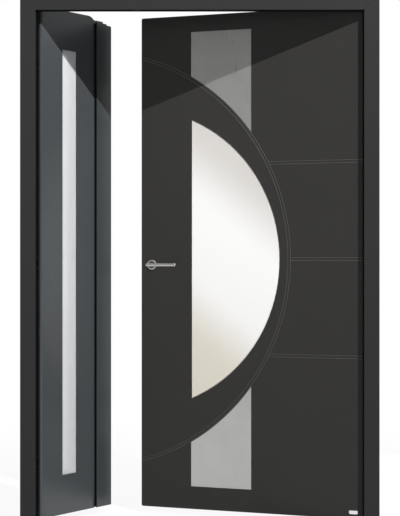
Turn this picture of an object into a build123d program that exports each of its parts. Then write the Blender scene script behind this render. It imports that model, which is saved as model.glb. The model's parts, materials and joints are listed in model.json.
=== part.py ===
from build123d import *
import os

os.makedirs("parts", exist_ok=True)

# Door frame: all sizes are in millimetres, depths run from the outdoor face inwards
frame_width = 1450.0
frame_height = 2152.0
frame_depth = 81.0
face_width = 62.0
rebate_depth = 35.0
lip_thickness = 10.0
frame_edge_radius = 1.2
threshold_height = 20.0
threshold_slope = 8.0
tread_groove_width = 3.0
tread_groove_depth = 1.5
tread_groove_pitch = 8.0
gasket_width = 8.0
gasket_setback = 6.0
gasket_thickness = 10.0

# Leaves, as they sit in the closed frame
leaf_face_depth = 25.0
leaf_side_overlap = 30.0
leaf_top_overlap = 25.0
leaf_floor_gap = 7.0
panel_thickness = 13.0
panel_edge_radius = 4.0
hinge_edge_radius = 9.0
main_corner_radius = 8.0
core_setback = 12.0
hinge_core_setback = 15.0
stile_width = 80.0
side_stile_width = 60.0
meeting_stile_width = 63.7
bottom_rail_height = 100.0
infill_recess = 5.0
meeting_gap = 9.0

# Hinges: barrels that sit in the gap between the leaf and the frame
axis_offset = 25.0
barrel_radius = 8.5
pin_radius = 4.0
pin_clearance = 0.05
frame_knuckle_length = 45.0
leaf_knuckle_length = 60.0
knuckle_gap = 1.0
pin_cap_height = 4.0
pin_cap_radius = 2.0
hinge_edge_distance = 230.0
hinge_plate_thickness = 2.5
frame_plate_reach = 26.0
leaf_plate_margin = 4.0

# Opening angles of the leaves in the resting pose
main_rest_angle = 19.33
side_rest_angle = 52.80

# Pattern of the wide leaf
pattern_rise = 13.0
glass_edge_distance = 226.9
glass_radius = 642.9
glass_centre_beyond_edge = 26.9
groove_centre_beyond_edge = 234.8
groove_radius = 891.0
groove_width = 12.0
groove_depth = 2.0
groove_wall_run = 2.0
groove_spacing = 399.2
inlay_arc_radius = 900.5
inlay_width = 265.0
inlay_margin = 83.8
inlay_thickness = 3.0
inlay_recess = 2.6
inlay_play = 0.6

# Glazing of both leaves
pane_thickness = 6.0
pane_recess = 2.0
pane_play = 0.3
pane_bevel = 3.0
spacer_depth = 16.0
spacer_width = 10.0
bead_width = 12.0
bead_flange = 15.0
bead_bevel = 2.5

# Narrow leaf
side_panel_width = 342.5
side_top_radius = 50.0
side_foot_radius = 18.0
side_glass_width = 87.6
side_glass_edge_distance = 125.5
side_glass_margin = 162.2
strip_lap = 9.0
strip_gasket_width = 6.0
strip_gasket_inset = 1.5
strip_gasket_foot = 5.0
strip_gasket_top = 8.0
carrier_inset = 2.0
strip_thickness = 5.0
strip_proud = 10.0
strip_edge_radius = 1.5
strip_overlap = 20.0
strip_top_rise = 1.0
strip_foot_gap = 2.0
strip_step_width = 29.4
strip_step_drop = 5.5
strip_step_radius = 4.0
strip_corner_radius = 8.0

# Lever handle
handle_edge_distance = 49.9
handle_height = 1060.0
rosette_radius = 20.5
rosette_thickness = 9.0
rosette_edge_radius = 1.5
rosette_rim_width = 4.5
rosette_dish_depth = 2.0
lever_radius = 7.2
lever_reach = 53.0
lever_length = 124.0
lever_end_radius = 2.0
neck_inset = 3.0
lever_play = 0.06
spindle_width = 8.0
spindle_hole_radius = 12.0

# Lock and seals
faceplate_width = 24.0
faceplate_thickness = 3.0
strike_thickness = 2.0
faceplate_margin = 255.0
bolt_height = 80.0
bolt_width = 14.0
bolt_end_distance = 180.0
seal_width = 20.0
flush_bolt_length = 200.0


def y_at(depth):
    return depth - frame_depth / 2


def block(x_pair, depth_pair, z_pair):
    x_low, x_high = min(x_pair), max(x_pair)
    depth_low, depth_high = min(depth_pair), max(depth_pair)
    z_low, z_high = min(z_pair), max(z_pair)
    size = (x_high - x_low, depth_high - depth_low, z_high - z_low)
    corner = (x_low, y_at(depth_low), z_low)
    return Pos(*corner) * Box(*size, align=(Align.MIN, Align.MIN, Align.MIN))


def slab(outline, depth_front, depth_back):
    back_plane = Plane.XZ.offset(-y_at(depth_back))
    return extrude(back_plane * outline, amount=depth_back - depth_front)


def outline_box(x_pair, z_pair):
    x_low, x_high = min(x_pair), max(x_pair)
    z_low, z_high = min(z_pair), max(z_pair)
    centre = Pos((x_low + x_high) / 2, (z_low + z_high) / 2)
    return centre * Rectangle(x_high - x_low, z_high - z_low)


def upright(x, depth, z_low, radius, height):
    base = Pos(x, y_at(depth), z_low)
    return base * Cylinder(radius, height, align=(Align.CENTER, Align.CENTER, Align.MIN))


def across(x, z, radius, depth_front, depth_back):
    return slab(Pos(x, z) * Circle(radius), depth_front, depth_back)


def outdoor_edges(solid):
    return solid.faces().sort_by(Axis.Y)[0].edges()


def indoor_edges(solid):
    return solid.faces().sort_by(Axis.Y)[-1].edges()


def soften(panel, hinge_side):
    hinge_edge = outdoor_edges(panel).sort_by(hinge_side)[-1]
    panel = fillet(hinge_edge, hinge_edge_radius)
    return fillet(outdoor_edges(panel), panel_edge_radius)


# Positions shared by several pieces
half_width = frame_width / 2
wall_width = face_width - rebate_depth
lip_edge_x = half_width - face_width
wall_x = half_width - wall_width
lip_edge_z = frame_height - face_width
axis_x = lip_edge_x + axis_offset
axis_depth = frame_depth
leaf_bottom = threshold_height + leaf_floor_gap
leaf_top = lip_edge_z + leaf_top_overlap
leaf_middle = (leaf_bottom + leaf_top) / 2
core_front = leaf_face_depth + panel_thickness
core_bottom = leaf_bottom + core_setback
core_top = leaf_top - core_setback
infill_back = frame_depth - infill_recess
pattern_z = leaf_middle + pattern_rise
hinge_edge_x = lip_edge_x + leaf_side_overlap
core_hinge_x = hinge_edge_x - hinge_core_setback
side_free_x = -hinge_edge_x + side_panel_width
strip_left_x = side_free_x - strip_lap
meeting_x = strip_left_x + meeting_stile_width
main_free_x = meeting_x + meeting_gap
main_core_x = main_free_x + core_setback
strip_right_x = main_free_x + strip_overlap
strip_front = leaf_face_depth - strip_proud
strip_back = strip_front + strip_thickness
strip_top = lip_edge_z + strip_top_rise
strip_bottom = leaf_bottom + strip_foot_gap
pane_front = leaf_face_depth + pane_recess
pane_back = pane_front + pane_thickness
inner_pane_front = pane_back + spacer_depth
inner_pane_back = inner_pane_front + pane_thickness
glass_left_x = main_free_x + glass_edge_distance
glass_centre_x = main_free_x - glass_centre_beyond_edge
groove_centre_x = main_free_x - groove_centre_beyond_edge
handle_x = main_free_x + handle_edge_distance
side_glass_right_x = side_free_x - side_glass_edge_distance
side_glass_left_x = side_glass_right_x - side_glass_width
faceplate_low = core_bottom + faceplate_margin
faceplate_high = core_top - faceplate_margin
hinge_heights = [leaf_bottom + hinge_edge_distance, leaf_middle, leaf_top - hinge_edge_distance]

frame_nodes = {}
main_nodes = {}
side_nodes = {}
lever_nodes = {}

# Frame members with mitred corners
jamb_wall = Polygon(
    (half_width, 0),
    (half_width, frame_height),
    (wall_x, frame_height - wall_width),
    (wall_x, 0),
    align=None,
)
jamb_lip = Polygon(
    (wall_x, 0),
    (wall_x, frame_height - wall_width),
    (lip_edge_x, lip_edge_z),
    (lip_edge_x, 0),
    align=None,
)
right_jamb = slab(jamb_wall, 0, frame_depth) + slab(jamb_lip, 0, lip_thickness)
right_jamb = fillet(outdoor_edges(right_jamb), frame_edge_radius)
frame_nodes["right_jamb"] = right_jamb
frame_nodes["left_jamb"] = mirror(right_jamb, about=Plane.YZ)
head_wall = Polygon(
    (-half_width, frame_height),
    (-wall_x, frame_height - wall_width),
    (wall_x, frame_height - wall_width),
    (half_width, frame_height),
    align=None,
)
head_lip = Polygon(
    (-wall_x, frame_height - wall_width),
    (-lip_edge_x, lip_edge_z),
    (lip_edge_x, lip_edge_z),
    (wall_x, frame_height - wall_width),
    align=None,
)
head = slab(head_wall, 0, frame_depth) + slab(head_lip, 0, lip_thickness)
frame_nodes["head"] = fillet(outdoor_edges(head), frame_edge_radius)
threshold_inner = block((-wall_x, wall_x), (lip_thickness, frame_depth), (0, threshold_height))
nose_low = threshold_height - threshold_slope
nose_profile = Polygon(
    (y_at(0), 0),
    (y_at(lip_thickness), 0),
    (y_at(lip_thickness), threshold_height),
    (y_at(0), nose_low),
    align=None,
)
threshold_nose = extrude(Plane.YZ * nose_profile, amount=lip_edge_x, both=True)
threshold = threshold_inner + threshold_nose
tread_low = threshold_height - tread_groove_depth
for step in (-1, 0, 1):
    tread_depth = leaf_face_depth + step * tread_groove_pitch
    tread_pair = (tread_depth, tread_depth + tread_groove_width)
    threshold -= block((-wall_x, wall_x), tread_pair, (tread_low, threshold_height))
frame_nodes["threshold"] = threshold
gasket_near = lip_edge_x + gasket_setback
gasket_far = gasket_near + gasket_width
gasket_low = lip_edge_z + gasket_setback
gasket_outer = outline_box((-gasket_far, gasket_far), (threshold_height, gasket_low + gasket_width))
gasket_inner = outline_box((-gasket_near, gasket_near), (0, gasket_low))
gasket_back = lip_thickness + gasket_thickness
frame_nodes["frame_gasket"] = slab(gasket_outer - gasket_inner, lip_thickness, gasket_back)

# Hinges, drawn for the wide leaf and mirrored for the narrow one
frame_knuckles = []
leaf_knuckles = []
hinge_pins = []
web_front = axis_depth - barrel_radius
for hinge_z in hinge_heights:
    leaf_low = hinge_z - leaf_knuckle_length / 2
    leaf_high = hinge_z + leaf_knuckle_length / 2
    frame_low = leaf_low - knuckle_gap - frame_knuckle_length
    frame_high = leaf_high + knuckle_gap
    bore = upright(
        axis_x,
        axis_depth,
        frame_low - knuckle_gap,
        pin_radius + pin_clearance,
        2 * (frame_knuckle_length + 2 * knuckle_gap) + leaf_knuckle_length,
    )
    for low in (frame_low, frame_high):
        barrel = upright(axis_x, axis_depth, low, barrel_radius, frame_knuckle_length)
        web = block((axis_x, wall_x), (web_front, axis_depth), (low, low + frame_knuckle_length))
        plate_x = (wall_x - hinge_plate_thickness, wall_x)
        plate_depths = (web_front - frame_plate_reach, axis_depth)
        plate = block(plate_x, plate_depths, (low, low + frame_knuckle_length))
        frame_knuckles.append(barrel + web + plate - bore)
    barrel = upright(axis_x, axis_depth, leaf_low, barrel_radius, leaf_knuckle_length)
    web = block((core_hinge_x, axis_x), (web_front, axis_depth), (leaf_low, leaf_high))
    plate_x = (core_hinge_x, core_hinge_x + hinge_plate_thickness)
    plate_depths = (core_front + leaf_plate_margin, axis_depth)
    plate = block(plate_x, plate_depths, (leaf_low, leaf_high))
    leaf_knuckles.append(barrel + web + plate - bore)
    pin_top = frame_high + frame_knuckle_length
    pin = upright(axis_x, axis_depth, frame_low, pin_radius, pin_top - frame_low)
    cap = upright(axis_x, axis_depth, pin_top, barrel_radius, pin_cap_height)
    cap = fillet(cap.edges().sort_by(Axis.Z)[-1], pin_cap_radius)
    hinge_pins.append(pin + cap)
frame_nodes["main_frame_knuckles"] = Compound(children=frame_knuckles)
frame_nodes["main_hinge_pins"] = Compound(children=hinge_pins)
main_nodes["main_leaf_knuckles"] = Compound(children=leaf_knuckles)
side_frame_knuckles = [mirror(piece, about=Plane.YZ) for piece in frame_knuckles]
side_hinge_pins = [mirror(piece, about=Plane.YZ) for piece in hinge_pins]
side_leaf_knuckles = [mirror(piece, about=Plane.YZ) for piece in leaf_knuckles]
frame_nodes["side_frame_knuckles"] = Compound(children=side_frame_knuckles)
frame_nodes["side_hinge_pins"] = Compound(children=side_hinge_pins)
side_nodes["side_leaf_knuckles"] = Compound(children=side_leaf_knuckles)


def glass_outline(grow):
    disc = Pos(glass_centre_x, pattern_z) * Circle(glass_radius + grow)
    reach = glass_radius + grow
    keep_x = (glass_left_x - grow, glass_centre_x + 2 * reach)
    return disc & outline_box(keep_x, (pattern_z - reach, pattern_z + reach))


def slot_outline(grow):
    x_pair = (side_glass_left_x - grow, side_glass_right_x + grow)
    margin = side_glass_margin - grow
    return outline_box(x_pair, (leaf_bottom + margin, leaf_top - margin))


def glazing(outline, prefix, nodes):
    pane = outline(-pane_play)
    outer_pane = slab(pane, pane_front, pane_back)
    nodes[prefix + "_outer_pane"] = chamfer(outdoor_edges(outer_pane), pane_bevel)
    ring = pane - outline(-pane_play - spacer_width)
    nodes[prefix + "_pane_spacer"] = slab(ring, pane_back, inner_pane_front)
    nodes[prefix + "_inner_pane"] = slab(pane, inner_pane_front, inner_pane_back)
    bead_hole = outline(-pane_play - bead_width)
    bead_leg = slab(outline(-pane_play) - bead_hole, inner_pane_back, frame_depth)
    bead_cover = slab(outline(bead_flange) - bead_hole, infill_back, frame_depth)
    bead = bead_leg + bead_cover
    nodes[prefix + "_glazing_bead"] = chamfer(indoor_edges(bead), bead_bevel)


# Wide leaf: outer panel with its pattern
main_outline = outline_box((main_free_x, hinge_edge_x), (leaf_bottom, leaf_top))
main_outline = fillet(main_outline.vertices().group_by(Axis.X)[0], main_corner_radius)
main_panel = slab(main_outline, leaf_face_depth, core_front)
main_panel = soften(main_panel, Axis.X)
main_panel -= slab(glass_outline(0), leaf_face_depth - 1, core_front + 1)
groove_floor_half = groove_width / 2 - groove_wall_run
groove_profile = Polygon(
    (-groove_width / 2, 0),
    (-groove_floor_half, -groove_depth),
    (groove_floor_half, -groove_depth),
    (groove_width / 2, 0),
    align=None,
)
arc_start = (groove_centre_x + groove_radius, y_at(leaf_face_depth), pattern_z)
arc_profile = Plane(origin=arc_start, x_dir=(1, 0, 0), z_dir=(0, 0, 1)) * mirror(groove_profile, about=Plane.XZ)
arc_axis = Axis((groove_centre_x, 0, pattern_z), (0, 1, 0))
main_panel -= revolve(arc_profile, axis=arc_axis, revolution_arc=360)
for step in (-1, 0, 1):
    groove_rise = step * groove_spacing
    groove_start_x = groove_centre_x + (groove_radius**2 - groove_rise**2) ** 0.5
    bar_start = (groove_start_x, y_at(leaf_face_depth), pattern_z + groove_rise)
    bar_plane = Plane(origin=bar_start, x_dir=(0, 0, 1), z_dir=(1, 0, 0))
    bar = extrude(bar_plane * groove_profile, amount=hinge_edge_x - groove_start_x)
    main_panel -= bar
inlay_circle = Pos(groove_centre_x, pattern_z) * Circle(inlay_arc_radius)
recess_circle = Pos(groove_centre_x, pattern_z) * Circle(inlay_arc_radius - inlay_play)
inlay_floor = leaf_face_depth + inlay_recess
for name, direction in (("upper_inlay", 1), ("lower_inlay", -1)):
    inlay_end = pattern_z + direction * ((leaf_top - leaf_bottom) / 2 - inlay_margin)
    inlay_pair = (glass_left_x, glass_left_x + inlay_width)
    inlay = outline_box(inlay_pair, (pattern_z, inlay_end)) - inlay_circle
    recess_pair = (glass_left_x - inlay_play, glass_left_x + inlay_width + inlay_play)
    recess = outline_box(recess_pair, (pattern_z, inlay_end + direction * inlay_play)) - recess_circle
    main_panel -= slab(recess, leaf_face_depth - 1, inlay_floor)
    main_nodes[name] = slab(inlay, inlay_floor - inlay_thickness, inlay_floor)
spindle_hole = across(handle_x, handle_height, spindle_hole_radius, 0, frame_depth)
main_nodes["main_outer_panel"] = main_panel - spindle_hole

# Wide leaf: stiles, rails, infill, glazing, lock and seal
stile_heights = (core_bottom, core_top)
core_depths = (core_front, frame_depth)
main_lock_x = main_core_x + stile_width
main_stile_x = core_hinge_x - stile_width
main_nodes["main_hinge_stile"] = block((main_stile_x, core_hinge_x), core_depths, stile_heights)
lock_stile = block((main_core_x, main_lock_x), core_depths, stile_heights)
main_nodes["main_lock_stile"] = lock_stile - spindle_hole
rail_top = core_top - stile_width
rail_bottom = core_bottom + bottom_rail_height
main_nodes["main_top_rail"] = block((main_lock_x, main_stile_x), core_depths, (rail_top, core_top))
main_nodes["main_bottom_rail"] = block((main_lock_x, main_stile_x), core_depths, (core_bottom, rail_bottom))
main_infill = block((main_lock_x, main_stile_x), (core_front, infill_back), (rail_bottom, rail_top))
main_nodes["main_infill"] = main_infill - slab(glass_outline(0), core_front - 1, infill_back + 1)
glazing(glass_outline, "main", main_nodes)
lock_depth = (core_front + frame_depth) / 2
plate_depths = (lock_depth - faceplate_width / 2, lock_depth + faceplate_width / 2)
bolt_depths = (lock_depth - bolt_width / 2, lock_depth + bolt_width / 2)
faceplate_x = (main_core_x - faceplate_thickness, main_core_x)
faceplate = block(faceplate_x, plate_depths, (faceplate_low, faceplate_high))
strike_x = (meeting_x, meeting_x + strike_thickness)
strike = block(strike_x, plate_depths, (faceplate_low, faceplate_high))
lock_bolts = []
for bolt_z in (faceplate_low + bolt_end_distance, handle_height, faceplate_high - bolt_end_distance):
    bolt_pair = (bolt_z - bolt_height / 2, bolt_z + bolt_height / 2)
    faceplate -= block(faceplate_x, bolt_depths, bolt_pair)
    strike -= block(strike_x, bolt_depths, bolt_pair)
    lock_bolts.append(block(faceplate_x, bolt_depths, bolt_pair))
main_nodes["lock_faceplate"] = faceplate
main_nodes["lock_bolts"] = Compound(children=lock_bolts)
seal_depths = (lock_depth - seal_width / 2, lock_depth + seal_width / 2)
main_nodes["main_bottom_seal"] = block((main_core_x, core_hinge_x), seal_depths, (leaf_bottom, core_bottom))

# Lever handle, drawn closed, with one lever on each face of the leaf
outer_front = leaf_face_depth - rosette_thickness
inner_back = frame_depth + rosette_thickness
neck_bore = lever_radius + lever_play
outer_bore = across(handle_x, handle_height, neck_bore, outer_front, leaf_face_depth)
inner_bore = across(handle_x, handle_height, neck_bore, frame_depth, inner_back)
outer_disc = across(handle_x, handle_height, rosette_radius, outer_front, leaf_face_depth)
inner_disc = across(handle_x, handle_height, rosette_radius, frame_depth, inner_back)
outer_disc = fillet(outdoor_edges(outer_disc), rosette_edge_radius)
inner_disc = fillet(indoor_edges(inner_disc), rosette_edge_radius)
dish_radius = rosette_radius - rosette_rim_width
outer_dish = across(handle_x, handle_height, dish_radius, outer_front, outer_front + rosette_dish_depth)
inner_dish = across(handle_x, handle_height, dish_radius, inner_back - rosette_dish_depth, inner_back)
main_nodes["outer_rosette"] = outer_disc - outer_dish - outer_bore
main_nodes["inner_rosette"] = inner_disc - inner_dish - inner_bore


def lever(depth_root, depth_tip):
    root = (handle_x, y_at(depth_root), handle_height)
    corner = (handle_x, y_at(depth_tip), handle_height)
    end = (handle_x + lever_length, y_at(depth_tip), handle_height)
    path = Polyline(root, corner, end)
    section = Plane(origin=path @ 0, z_dir=path % 0) * Circle(lever_radius)
    bar = sweep(section, path=path, transition=Transition.RIGHT)
    return fillet(bar.faces().sort_by(Axis.X)[-1].edges(), lever_end_radius)


spindle_front = leaf_face_depth - neck_inset
spindle_back = frame_depth + neck_inset
lever_nodes["outer_lever"] = lever(spindle_front, leaf_face_depth - lever_reach)
lever_nodes["inner_lever"] = lever(spindle_back, frame_depth + lever_reach)
spindle_x = (handle_x - spindle_width / 2, handle_x + spindle_width / 2)
spindle_z = (handle_height - spindle_width / 2, handle_height + spindle_width / 2)
lever_nodes["spindle"] = block(spindle_x, (spindle_front, spindle_back), spindle_z)

# Narrow leaf: outer panel with two rounded corners and a glazed slot
side_outline = outline_box((-hinge_edge_x, side_free_x), (leaf_bottom, leaf_top))
top_corner = side_outline.vertices().group_by(Axis.X)[-1].sort_by(Axis.Y)[-1]
side_outline = fillet(top_corner, side_top_radius)
foot_corner = side_outline.vertices().group_by(Axis.X)[-1].sort_by(Axis.Y)[0]
side_outline = fillet(foot_corner, side_foot_radius)
side_panel = slab(side_outline, leaf_face_depth, core_front)
side_panel = soften(side_panel, -Axis.X)
side_nodes["side_outer_panel"] = side_panel - slab(slot_outline(0), leaf_face_depth - 1, core_front + 1)

# Narrow leaf: stiles, rails, infill, glazing, cover strip and fittings
side_stile_x = -core_hinge_x + side_stile_width
side_nodes["side_hinge_stile"] = block((-core_hinge_x, side_stile_x), core_depths, stile_heights)
side_nodes["side_meeting_stile"] = block((strip_left_x, meeting_x), core_depths, stile_heights)
side_nodes["side_top_rail"] = block((side_stile_x, strip_left_x), core_depths, (rail_top, core_top))
side_nodes["side_bottom_rail"] = block((side_stile_x, strip_left_x), core_depths, (core_bottom, rail_bottom))
side_infill = block((side_stile_x, strip_left_x), (core_front, infill_back), (rail_bottom, rail_top))
side_nodes["side_infill"] = side_infill - slab(slot_outline(0), core_front - 1, infill_back + 1)
glazing(slot_outline, "side", side_nodes)
carrier_heights = (strip_bottom + carrier_inset, strip_top - carrier_inset)
carrier_front = block((strip_left_x, meeting_x), (strip_back, leaf_face_depth), carrier_heights)
carrier_back = block((side_free_x, meeting_x), (leaf_face_depth, core_front), carrier_heights)
side_nodes["strip_carrier"] = carrier_front + carrier_back
step_x = strip_right_x - strip_step_width
step_z = strip_top - strip_step_drop
strip_outline = Polygon(
    (strip_left_x, strip_bottom),
    (strip_right_x, strip_bottom),
    (strip_right_x, step_z),
    (step_x, step_z),
    (step_x, strip_top),
    (strip_left_x, strip_top),
    align=None,
)
strip_outline = fillet(strip_outline.vertices().sort_by_distance((strip_right_x, step_z))[0], strip_corner_radius)
strip_outline = fillet(strip_outline.vertices().sort_by_distance((step_x, strip_top))[0], strip_step_radius)
cover_strip = slab(strip_outline, strip_front, strip_back)
side_nodes["cover_strip"] = fillet(outdoor_edges(cover_strip), strip_edge_radius)
gasket_x = (strip_left_x - strip_gasket_width, strip_left_x)
gasket_depths = (strip_front + strip_gasket_inset, leaf_face_depth)
gasket_heights = (strip_bottom + strip_gasket_foot, strip_top - strip_gasket_top)
side_nodes["strip_gasket"] = block(gasket_x, gasket_depths, gasket_heights)
side_nodes["strike_plate"] = strike
flush_bolts = []
for bolt_low in (core_bottom, core_top - flush_bolt_length):
    flush_bolts.append(block(strike_x, plate_depths, (bolt_low, bolt_low + flush_bolt_length)))
side_nodes["flush_bolt_plates"] = Compound(children=flush_bolts)
side_nodes["side_bottom_seal"] = block((-core_hinge_x, meeting_x), seal_depths, (leaf_bottom, core_bottom))

# Resting pose: both leaves stand open towards the inside
main_axis = Axis((axis_x, y_at(axis_depth), 0), (0, 0, -1))
side_axis = Axis((-axis_x, y_at(axis_depth), 0), (0, 0, 1))
for name, piece in frame_nodes.items():
    export_step(piece, f"parts/{name}.step")
for group in (main_nodes, lever_nodes):
    for name, piece in group.items():
        export_step(piece.rotate(main_axis, main_rest_angle), f"parts/{name}.step")
for name, piece in side_nodes.items():
    export_step(piece.rotate(side_axis, side_rest_angle), f"parts/{name}.step")
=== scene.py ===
"""Dresses a two-leaf front door: its finishes, seals, rosettes and screws, and the stage it stands on."""

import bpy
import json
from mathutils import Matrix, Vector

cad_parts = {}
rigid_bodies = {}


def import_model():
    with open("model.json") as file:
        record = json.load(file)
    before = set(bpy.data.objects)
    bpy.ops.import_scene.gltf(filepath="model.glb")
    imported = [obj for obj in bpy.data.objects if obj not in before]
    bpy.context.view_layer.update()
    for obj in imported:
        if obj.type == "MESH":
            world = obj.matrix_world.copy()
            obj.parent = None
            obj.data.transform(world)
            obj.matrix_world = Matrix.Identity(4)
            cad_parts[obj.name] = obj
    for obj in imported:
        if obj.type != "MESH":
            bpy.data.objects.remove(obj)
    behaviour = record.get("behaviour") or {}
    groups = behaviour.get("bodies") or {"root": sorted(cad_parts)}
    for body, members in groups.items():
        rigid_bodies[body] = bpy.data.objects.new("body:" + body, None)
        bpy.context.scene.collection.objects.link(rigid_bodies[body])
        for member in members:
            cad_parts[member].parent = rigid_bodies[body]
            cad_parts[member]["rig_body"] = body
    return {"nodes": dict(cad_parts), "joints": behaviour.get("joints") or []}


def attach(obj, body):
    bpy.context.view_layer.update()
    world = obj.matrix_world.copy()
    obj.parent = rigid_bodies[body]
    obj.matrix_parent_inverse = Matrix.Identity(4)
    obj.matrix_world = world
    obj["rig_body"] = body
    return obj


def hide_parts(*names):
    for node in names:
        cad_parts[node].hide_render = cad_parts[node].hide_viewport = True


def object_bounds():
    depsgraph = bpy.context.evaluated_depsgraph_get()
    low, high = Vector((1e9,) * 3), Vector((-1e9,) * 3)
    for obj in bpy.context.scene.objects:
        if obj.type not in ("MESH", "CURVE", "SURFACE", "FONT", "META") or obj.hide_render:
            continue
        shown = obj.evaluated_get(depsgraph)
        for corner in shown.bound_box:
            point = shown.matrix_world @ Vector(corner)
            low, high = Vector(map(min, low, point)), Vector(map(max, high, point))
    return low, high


bl_info = {
    "name": "Front door dressing",
    "version": (1, 0, 0),
    "blender": (4, 5, 0),
    "location": "View3D > Sidebar > Front door",
    "description": "Finishes, seals and small fittings for a front door with a wide and a narrow leaf",
    "category": "Object",
}

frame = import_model()

import json
import math

import bmesh
import bpy
from mathutils import Matrix, Vector

cad_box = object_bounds()
joints = {joint["name"]: joint for joint in frame["joints"]}

# Photograph: its size in pixels and the camera's focal length in the same pixels
PHOTO_WIDTH = 400
FOCAL_PIXELS = 1392.8
SENSOR_WIDTH = 36.0


def opening_turn(joint_name):
    """Turn that takes a shut leaf to the pose in which the frame holds it."""
    joint = joints[joint_name]
    pivot = Vector(joint["pos_m"])
    turn = Matrix.Rotation(math.radians(-joint["range_deg"][0]), 4, Vector(joint["axis"]))
    return Matrix.Translation(pivot) @ turn @ Matrix.Translation(-pivot)


LEAF_TURN = {
    "frame": Matrix.Identity(4),
    "main_leaf": opening_turn("main_leaf_hinge"),
    "lever": opening_turn("main_leaf_hinge"),
    "side_leaf": opening_turn("side_leaf_hinge"),
}


def shut_box(node):
    """Corners of a node's box with its leaf shut, where the box lies along the row's axes."""
    piece = frame["nodes"][node]
    undo = LEAF_TURN[piece["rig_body"]].inverted()
    corners = [undo @ vertex.co for vertex in piece.data.vertices]
    low = Vector(min(corner[axis] for corner in corners) for axis in range(3))
    high = Vector(max(corner[axis] for corner in corners) for axis in range(3))
    return low, high


class DoorFinish(bpy.types.PropertyGroup):
    frame_colour: bpy.props.FloatVectorProperty(
        name="Frame paint", description="Powder coat of jambs and head", subtype="COLOR",
        size=4, min=0, max=1, default=(0.0268, 0.0270, 0.0269, 1))
    main_colour: bpy.props.FloatVectorProperty(
        name="Wide leaf paint", description="Powder coat of the wide leaf", subtype="COLOR",
        size=4, min=0, max=1, default=(0.0323, 0.0315, 0.0303, 1))
    side_colour: bpy.props.FloatVectorProperty(
        name="Narrow leaf paint", description="Powder coat of the narrow leaf", subtype="COLOR",
        size=4, min=0, max=1, default=(0.053, 0.0592, 0.0628, 1))
    # The cover strip's paint is the narrow leaf's paint made darker: painted shade for the darker
    # right-hand side of that leaf.
    strip_painted_shade_colour: bpy.props.FloatVectorProperty(
        name="Cover strip paint", description="Powder coat of the narrow leaf's cover strip",
        subtype="COLOR", size=4, min=0, max=1, default=(0.0385, 0.0445, 0.0475, 1))
    # Black rubber of the seals and gaskets, made darker than rubber so that the gaps beside the leaves show
    # as painted shade.
    rubber_and_gap_shade_colour: bpy.props.FloatVectorProperty(
        name="Rubber", description="Seals and gaskets", subtype="COLOR",
        size=4, min=0, max=1, default=(0.002, 0.002, 0.002, 1))
    # Half-round beads catch real highlights; their paint, lighter than the leaf's, is also a painted glint
    # along the groove lips.
    bead_glint_colour: bpy.props.FloatVectorProperty(
        name="Groove beads", description="Fine beads along the lips of the grooves", subtype="COLOR",
        size=4, min=0, max=1, default=(0.105, 0.103, 0.100, 1))
    main_glass_colour: bpy.props.FloatVectorProperty(
        name="Wide pane", description="Etched glass of the wide leaf", subtype="COLOR",
        size=4, min=0, max=1, default=(0.985, 0.98, 0.972, 1))
    # The wide pane's two corner colours are painted reflections, not a change in the etch.
    painted_reflection_lower_left: bpy.props.FloatVectorProperty(
        name="Wide pane painted reflection, lower left", description="Painted warm reflection towards the pane's lower left", subtype="COLOR",
        size=4, min=0, max=1, default=(0.77, 0.725, 0.63, 1))
    painted_reflection_upper_right: bpy.props.FloatVectorProperty(
        name="Wide pane painted reflection, upper right", description="Painted grey reflection towards the pane's upper right", subtype="COLOR",
        size=4, min=0, max=1, default=(0.675, 0.65, 0.62, 1))
    clear_glass_colour: bpy.props.FloatVectorProperty(
        name="Inner panes", description="Clear glass on the indoor side", subtype="COLOR",
        size=4, min=0, max=1, default=(0.97, 0.98, 0.975, 1))
    side_glass_colour: bpy.props.FloatVectorProperty(
        name="Narrow pane", description="Etched glass of the narrow leaf", subtype="COLOR",
        size=4, min=0, max=1, default=(0.91, 0.92, 0.93, 1))
    dish_colour: bpy.props.FloatVectorProperty(
        name="Rosette dish", description="Dark inset of the rosettes", subtype="COLOR",
        size=4, min=0, max=1, default=(0.09, 0.09, 0.09, 1))
    inlay_colour: bpy.props.FloatVectorProperty(
        name="Inlay steel", description="Satin steel of the two inlays", subtype="COLOR",
        size=4, min=0, max=1, default=(0.497, 0.497, 0.488, 1))
    fitting_colour: bpy.props.FloatVectorProperty(
        name="Fitting steel", description="Brushed steel of lever, rosettes and lock plates",
        subtype="COLOR", size=4, min=0, max=1, default=(0.62, 0.61, 0.59, 1))
    hinge_colour: bpy.props.FloatVectorProperty(
        name="Hinge steel", description="Dark coated steel of barrels and pins", subtype="COLOR",
        size=4, min=0, max=1, default=(0.055, 0.055, 0.055, 1))
    screw_colour: bpy.props.FloatVectorProperty(
        name="Screw steel", description="Bright steel of screws and slide bolts", subtype="COLOR",
        size=4, min=0, max=1, default=(0.45, 0.45, 0.45, 1))
    sill_colour: bpy.props.FloatVectorProperty(
        name="Sill aluminium", description="Drawn aluminium of threshold and pane spacers", subtype="COLOR",
        size=4, min=0, max=1, default=(0.45, 0.45, 0.45, 1))
    plate_colour: bpy.props.FloatVectorProperty(
        name="Blank plate", description="Small bare plate near the wide leaf's foot", subtype="COLOR",
        size=4, min=0, max=1, default=(0.85, 0.85, 0.85, 1))


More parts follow.
